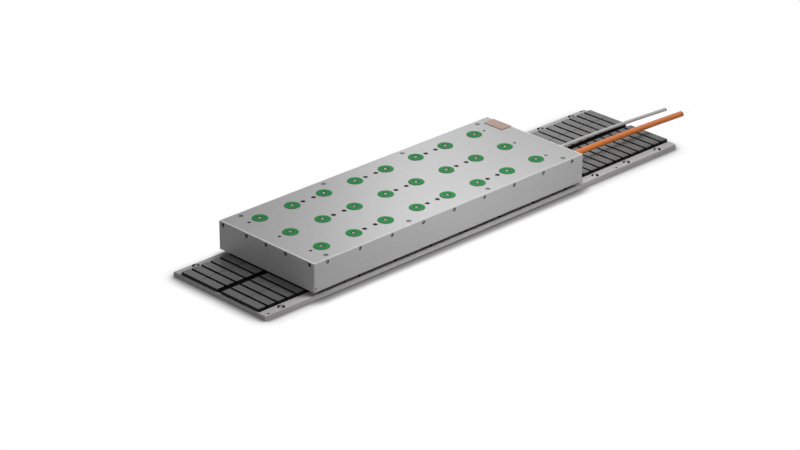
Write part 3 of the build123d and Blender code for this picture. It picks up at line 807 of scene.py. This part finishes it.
# %% Mounting rings
RING_BORE = 5.0 * mm
RING_EASE = 0.5 * mm
ring_outline = [
    (RING_BORE, ring_low.z, False),
    (RING_RADIUS, ring_low.z, False),
    (RING_RADIUS, ring_high.z - RING_EASE, False),
    (RING_RADIUS - RING_EASE, ring_high.z, False),
    (RING_BORE + RING_EASE, ring_high.z, False),
    (RING_BORE, ring_high.z - RING_EASE, False),
]
on_grid(
    "mounting_rings",
    turned("mounting_ring", ring_outline, steps=48, closed=True, inner=(4, 5)),
    RING_COLUMNS,
    RING_ROWS,
    ring_length,
    ring_width,
    (ring_middle.x, ring_middle.y, 0.0),
    # Painted shade: dark green outer edge, near black bore.
    looks(ring_edge, ring_green, hole_black),
    PRIMARY,
    ["insulating_rings"],
)

# %% [markdown]
# Under each ring sits a threaded steel insert, put in from below, whose collar lines the bore of
# the ring. The photograph shows a dark circle with a small light spot in the middle of every ring,
# so the rim of the collar is painted black as painted shade and the thread inside it is painted
# bright as a painted highlight.

# %% Threaded inserts
insert_low, insert_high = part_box("threaded_inserts")
INSERT_FLANGE, INSERT_BODY = 10.0 * mm, 7.0 * mm
FLANGE_HEIGHT = 2.5 * mm
flange_top = insert_low.z + FLANGE_HEIGHT
COLLAR_RADIUS, COLLAR_DROP = 4.95 * mm, 0.3 * mm
collar_top = ring_high.z - COLLAR_DROP
THREAD_RADIUS, THREAD_MOUTH = 3.4 * mm, 3.5 * mm
insert_outline = [
    (INSERT_FLANGE, insert_low.z, False),
    (INSERT_FLANGE, flange_top, False),
    (INSERT_BODY, flange_top, False),
    (INSERT_BODY, insert_high.z, False),
    (COLLAR_RADIUS, insert_high.z, False),
    (COLLAR_RADIUS, collar_top, False),
    (THREAD_MOUTH, collar_top, False),
    (THREAD_RADIUS, collar_top - (THREAD_MOUTH - THREAD_RADIUS), False),
    (THREAD_RADIUS, insert_low.z, False),
]
on_grid(
    "screw_inserts",
    turned("screw_insert", insert_outline, steps=24, closed=True, inner=(6, 7)),
    RING_COLUMNS,
    RING_ROWS,
    ring_length,
    ring_width,
    (ring_middle.x, ring_middle.y, 0.0),
    # Painted shade on the collar's rim, painted highlight on the thread.
    looks(insert_metal, hole_black, thread_metal),
    PRIMARY,
    ["threaded_inserts"],
)

# %% [markdown]
# The countersunk screws that hold the cover to the core have a flat head with a hexagon socket.
# The socket is a hexagonal pocket in the turned outline. In the photograph the screws of the outer
# columns look lighter than the others, so they are taken for zinc plated, with a wider socket.
# Those between the rings are black.

# %% Cover screws
HEAD, SHANK, SCREW_LENGTH = 5.0 * mm, 2.5 * mm, 24.0 * mm
SOCKET, WIDE_SOCKET, SOCKET_DEPTH = 2.5 * mm, 3.0 * mm, 2.0 * mm
DRILL_POINT, HEAD_EASE = 0.6, 0.2 * mm


def flat_screw(name, head, shank, length, socket, depth):
    """A countersunk screw with its head flush at height 0."""
    outline = [
        (0, -depth - DRILL_POINT * socket, False),
        (socket, -depth, True),
        (socket, 0.0, True),
        (head - HEAD_EASE, 0.0, False),
        (head, -HEAD_EASE, False),
        (shank, shank - head - HEAD_EASE, False),
        (shank, -length, False),
        (0, -length, False),
    ]
    return turned(name, outline, inner=(0, 1))


UP = (0.0, 0.0, 1.0)
screw_columns_x = [x + (-1) ** (i + 1) * tooth_step for i, x in enumerate(ring_columns_x)]
outer_columns = (screw_columns_x[0], screw_columns_x[-1])
inner_columns = screw_columns_x[1:-1]
for name, columns, head_finish, socket, slot in (
    ("cover_screws_plated", outer_columns, zinc_grey, WIDE_SOCKET, "screw_steel"),
    ("cover_screws_black", inner_columns, black_oxide, SOCKET, "black_steel"),
):
    on_places(
        name,
        flat_screw(name + "_one", HEAD, SHANK, SCREW_LENGTH, socket, SOCKET_DEPTH),
        [((x, y, top_z), UP) for x in columns for y in ring_rows_y],
        # Painted shade: the sockets are near black.
        looks(head_finish, head_finish, hole_black),
        PRIMARY,
        ["core_screws"],
    )

# %% [markdown]
# The magnets are the part of the track that does the work: two rows of blocks with a channel
# between them, each pole made of two blocks that meet in a fine seam. One pair of blocks with
# small bevels is laid out 48 times along the track and once on each side of the channel.

# %% Magnets
first_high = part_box("magnet_group_1")[1]
MAGNET_WIDTH, BLOCK_LENGTH, SEAM = 18.5 * mm, 49.4 * mm, 0.2 * mm
POLES = 48
MAGNET_EASE = 0.5 * mm


def eased_block(shape, low, high, ease):
    """Add one block with bevelled edges to a bmesh."""
    made = bmesh.ops.create_cube(shape, size=1.0)["verts"]
    size, middle = high - low, (low + high) / 2
    for vertex in made:
        vertex.co = Vector(v * s for v, s in zip(vertex.co, size)) + middle
    edges = list({e for v in made for e in v.link_edges})
    bmesh.ops.bevel(shape, geom=edges, offset=ease, segments=1, affect="EDGES", profile=0.5)


shape = bmesh.new()
half_pair = BLOCK_LENGTH + SEAM / 2
for side in (-1, 1):
    near, far = sorted((side * SEAM / 2, side * half_pair))
    eased_block(
        shape,
        Vector((-MAGNET_WIDTH / 2, near, first_low.z)),
        Vector((MAGNET_WIDTH / 2, far, first_high.z)),
        MAGNET_EASE,
    )
magnet_pair = bpy.data.meshes.new("magnet_pair")
shape.to_mesh(magnet_pair)
shape.free()
row_step = first_high.y - first_low.y - 2 * half_pair
track_reach = last_high.x - first_low.x - MAGNET_WIDTH
on_grid(
    "magnet_rows",
    magnet_pair,
    POLES,
    2,
    track_reach,
    row_step,
    ((first_low.x + last_high.x) / 2, 0.0, 0.0),
    # Tops get the lit tone; sides and bevels get painted shade.
    looks(magnet_side, magnet_face, magnet_side),
    TRACK,
    [f"magnet_group_{i}" for i in range(1, 7)],
)

# %% [markdown]
# Nine countersunk screws hold each long side. In the photograph each is a dark spot of a few pixels
# with a light lip, so a dished head is a guess. They are one turned shape on a list of places, and
# each place says which way its screw looks, so both sides come from one run.

# %% Side screws
side_low, side_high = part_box("side_screws")
SIDE_HEAD, SIDE_SHANK, SIDE_LENGTH, SIDE_SCREWS = 4.0 * mm, 2.0 * mm, 12.0 * mm, 9
SIDE_DISH, SIDE_DISH_DEPTH, SIDE_LIP = 2.4 * mm, 1.3 * mm, 0.15 * mm
side_step = (side_high.x - side_low.x - 2 * SIDE_HEAD) / (SIDE_SCREWS - 1)
side_x = [side_low.x + SIDE_HEAD + side_step * i for i in range(SIDE_SCREWS)]
side_places = [
    ((x, s * box_high.y, side_low.z + SIDE_HEAD), (0.0, s, 0.0)) for x in side_x for s in (-1.0, 1.0)
]
dish_outline = [
    (0, -SIDE_DISH_DEPTH, False),
    (SIDE_DISH, -SIDE_DISH_DEPTH, False),
    (SIDE_HEAD - 2 * SIDE_LIP, -SIDE_LIP, False),
    (SIDE_HEAD - SIDE_LIP, -SIDE_LIP, False),
    (SIDE_SHANK, SIDE_SHANK - SIDE_HEAD, False),
    (SIDE_SHANK, -SIDE_LENGTH, False),
    (0, -SIDE_LENGTH, False),
]
on_places(
    "side_cover_screws",
    turned("side_screw", dish_outline, inner=(1,)),
    side_places,
    # Painted shade: the wall of each dish is near black.
    looks(zinc_grey, zinc_grey, black_oxide),
    PRIMARY,
    ["side_screws"],
)

# %% [markdown]
# Five cap screws sit along the top of each end, sunk in bores of the end panel, with a hexagon
# socket in the head. Those of the closed end are only small dark dots in the photograph, so their
# form is a guess.

# %% End screws
end_low, end_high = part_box("end_screws")
END_HEAD, END_HEAD_HEIGHT, END_SHANK, END_LENGTH = 4.2 * mm, 4.5 * mm, 2.5 * mm, 16.0 * mm
END_INNER_Y = 53.3 * mm
end_outer_y = end_high.y - END_HEAD
end_rows_y = (-end_outer_y, -END_INNER_Y, 0.0, END_INNER_Y, end_outer_y)
END_SUNK, END_SOCKET, END_EASE = 3.0 * mm, 2.0 * mm, 0.4 * mm
END_SOCKET_DEPTH, END_DRILL_POINT = 1.0 * mm, 0.4 * mm
end_socket_floor = -END_SUNK - END_SOCKET_DEPTH
cap_outline = [
    (0, end_socket_floor - END_DRILL_POINT, False),
    (END_SOCKET, end_socket_floor, True),
    (END_SOCKET, -END_SUNK, True),
    (END_HEAD - END_EASE, -END_SUNK, False),
    (END_HEAD, -END_SUNK - END_EASE, False),
    (END_HEAD, -END_HEAD_HEIGHT, False),
    (END_SHANK, -END_HEAD_HEIGHT, False),
    (END_SHANK, -END_LENGTH, False),
    (0, -END_LENGTH, False),
]
on_places(
    "end_cover_screws",
    turned("end_screw", cap_outline, inner=(0, 1)),
    [
        ((x, y, end_low.z + END_HEAD), (s, 0.0, 0.0))
        for x, s in ((box_low.x, -1.0), (box_high.x, 1.0))
        for y in end_rows_y
    ],
    # Painted shade: the sockets are near black.
    looks(plug_grey, plug_grey, hole_black),
    PRIMARY,
    ["end_screws"],
)

# %% [markdown]
# Eight grey discs lie flush near the long edges of the top, and are taken for plugs. They stand at
# equal steps in two rows, so they use the grid, and a fine bevel parts each plug from the plate.

# %% Flush plugs
plug_low, plug_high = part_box("top_plugs")
PLUG_RADIUS, PLUG_EASE, PLUGS_IN_ROW = 5.0 * mm, 0.3 * mm, 4
plug_outline = [
    (0, plug_low.z, False),
    (PLUG_RADIUS, plug_low.z, False),
    (PLUG_RADIUS, top_z - PLUG_EASE, False),
    (PLUG_RADIUS - PLUG_EASE, top_z, False),
    (0, top_z, False),
]
on_grid(
    "flush_plugs",
    turned("flush_plug", plug_outline),
    PLUGS_IN_ROW,
    2,
    plug_high.x - plug_low.x - 2 * PLUG_RADIUS,
    plug_high.y - plug_low.y - 2 * PLUG_RADIUS,
    ((plug_low.x + plug_high.x) / 2, 0.0, 0.0),
    looks(plug_grey, plug_grey, plug_grey),
    PRIMARY,
    ["top_plugs"],
)

# %% [markdown]
# The remaining nodes already have the right shape: the thin sheet under the primary, the glands
# and everything inside the housing. They keep their imported meshes and only get their finish. The
# bare plate on the top is the one exception: its edges are eased, and the edge that looks to the
# closed end carries black painted shade, because a dark line shows there in the photograph.

# %% Finishes of the imported nodes
BARE_EASE = 0.1 * mm
TURNED_AWAY = 0.5


def paint_blank(face, _low, _high):
    """The edge of the bare plate that looks to the closed end carries near black painted shade."""
    return 1 if face.normal.x < -TURNED_AWAY else 0


# Painted shade: the edge towards the closed end is near black.
bare_looks = [copper_face, hole_black]
eased("bare_plate", "blank_plate", BARE_EASE, bare_looks, PRIMARY, paint_blank)
node_finish = {
    "air_gap_sheet": thin_steel,
    "corner_screws": zinc_grey,
    "laminated_core": core_metal,
    "tooth_insulators": moulded_white,
    "coils_u": enamelled_copper,
    "coils_v": enamelled_copper,
    "coils_w": enamelled_copper,
    "coil_leads": enamelled_copper,
    "busbar_carrier": moulded_white,
    "phase_bars": copper_face,
    "star_bar": copper_face,
    "temperature_sensors": sensor_resin,
    "terminal_board": board_green,
    "board_standoffs": zinc_grey,
    "terminal_studs": stud_brass,
    "cooling_tube": thin_steel,
    "coolant_ports": plated_brass,
    "power_gland": plated_brass,
    "sensor_gland": plated_brass,
    "gland_lock_nuts": plated_brass,
    "power_core_ends": core_pale,
    "sensor_core_ends": core_pale,
}
for name, material in node_finish.items():
    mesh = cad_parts[name].data
    mesh.materials.clear()
    mesh.materials.append(material)
print("packed nodes with a new finish", len(node_finish))

# %% [markdown]
# The motor stands on a plain pale floor that runs out to white, as a sheet of paper does in a
# studio. The floor is one large square.

# %% Floor
FLOOR_REACH = 30.0
floor_mesh = bpy.data.meshes.new("floor")
corners = [(-1, -1), (1, -1), (1, 1), (-1, 1)]
floor_points = [(FLOOR_REACH * x, FLOOR_REACH * y, 0.0) for x, y in corners]
floor_mesh.from_pydata(floor_points, [], [(0, 1, 2, 3)])
floor = bpy.data.objects.new("floor", floor_mesh)
scene.collection.objects.link(floor)
print("floor reaches", FLOOR_REACH, "m")

# %% [markdown]
# The camera and mirror-like faces see the floor as white paper, while the light that it throws back
# on the motor is kept lower, so that the sides of the box stay darker than its top. The soft shadow
# comes from an Ambient Occlusion node, which measures how far the motor closes in each point of
# the floor, and the stops of its ramp were fitted to the tones of the shadow in the photograph. Its
# normal is tilted to the rear of the track, which makes the shadow wider in front.

# %% Paper of the floor
CONTACT_REACH = 0.030
CONTACT_TILT = (0.0, 0.447, 0.894)
CONTACT_SAMPLES = 32
BOUNCE = 0.45


def seen_rays(tree):
    """One for what the camera, mirrors and glass see, and zero for light that is thrown back."""
    rays = wire(tree, "ShaderNodeLightPath").outputs
    direct = {0: rays["Is Camera Ray"], 1: rays["Is Glossy Ray"]}
    first = wire(tree, "ShaderNodeMath", direct, operation="MAXIMUM")
    joined = {0: first.outputs[0], 1: rays["Is Transmission Ray"]}
    return wire(tree, "ShaderNodeMath", joined, operation="MAXIMUM").outputs[0]


paper = bpy.data.materials.new("paper")
paper.use_nodes = True
paper_tree = paper.node_tree
paper_tree.nodes.clear()
seen = seen_rays(paper_tree)
contact = wire(
    paper_tree,
    "ShaderNodeAmbientOcclusion",
    {"Distance": CONTACT_REACH, "Normal": CONTACT_TILT},
    samples=CONTACT_SAMPLES,
)
shade = wire(paper_tree, "ShaderNodeValToRGB", {"Fac": contact.outputs["AO"]})
stops = (
    (0.42, 0.098),
    (0.51, 0.133),
    (0.61, 0.242),
    (0.76, 0.328),
    (0.81, 0.485),
    (0.87, 0.610),
    (0.95, 0.855),
    (0.98, 0.950),
    (1.0, 1.0),
)
ramp = shade.color_ramp
for place, value in stops[1:-1]:
    ramp.elements.new(place)
for element, (place, value) in zip(ramp.elements, stops):
    element.position = place
    element.color = (value, value, value, 1.0)
thrown = wire(
    paper_tree, "ShaderNodeMapRange", {"Value": seen, "To Min": BOUNCE, "To Max": 0.0}
).outputs["Result"]
matte = wire(paper_tree, "ShaderNodeBsdfDiffuse", {"Color": thrown})
glow = wire(paper_tree, "ShaderNodeEmission", {"Color": shade.outputs["Color"], "Strength": seen})
both = wire(paper_tree, "ShaderNodeAddShader", {0: matte.outputs[0], 1: glow.outputs[0]})
wire(paper_tree, "ShaderNodeOutputMaterial", {"Surface": both.outputs[0]})
floor_mesh.materials.append(paper)
print("shadow reaches", CONTACT_REACH, "m, stops", len(stops))

# %% [markdown]
# The light is a studio. Two steep lamps in front light the top and the long side and leave the
# strip of the track under the box in shadow. Two tall lamps behind are mirrored faintly by the
# satin top, which gives its slow change of tone. A lamp on the right lights the cable end and the
# magnets there, and a weaker one on the left keeps the closed end darker than the long side. Their
# places and powers were fitted to the tones of the photograph, so they say nothing about where its
# own lamps stood.

# %% Light
ROOM_LIGHT = 0.02
world = bpy.data.worlds.new("room")
scene.world = world
world.use_nodes = True
room = world.node_tree
room.nodes.clear()
room_seen = seen_rays(room)
room_level = wire(
    room, "ShaderNodeMapRange", {"Value": room_seen, "To Min": ROOM_LIGHT, "To Max": 1.0}
)
background = wire(
    room, "ShaderNodeBackground", {"Color": (1, 1, 1, 1), "Strength": room_level.outputs["Result"]}
)
wire(room, "ShaderNodeOutputWorld", {"Surface": background.outputs[0]})


def lamp(name, place, aim, width, height, power):
    """A rectangular area lamp that looks at a point."""
    data = bpy.data.lights.new(name, "AREA")
    data.shape = "RECTANGLE"
    data.size, data.size_y = width, height
    data.energy = power
    made = bpy.data.objects.new(name, data)
    made.location = place
    made.rotation_euler = (Vector(aim) - Vector(place)).to_track_quat("-Z", "Y").to_euler()
    scene.collection.objects.link(made)


lamp("overhead", (-0.06, -0.55, 1.05), (-0.06, -0.13, 0.045), 0.7, 0.2, 4.1)
lamp("front", (-0.08, -0.38, 0.62), (-0.08, -0.13, 0.045), 0.35, 0.12, 1.7)
lamp("mirrored_wide", (1.42, 1.28, 0.88), (0.108, 0.0, 0.07), 0.5, 0.9, 2.4)
lamp("mirrored_narrow", (1.30, 1.40, 0.88), (0.05, 0.0, 0.07), 0.25, 0.9, 3.3)
lamp("right", (1.60, -0.20, 0.90), (0.2, 0.0, 0.05), 0.8, 0.6, 5.9)
lamp("left", (-1.66, -0.20, 0.60), (-0.4, 0.0, 0.05), 0.8, 0.4, 1.5)
scene.view_settings.view_transform = "Standard"
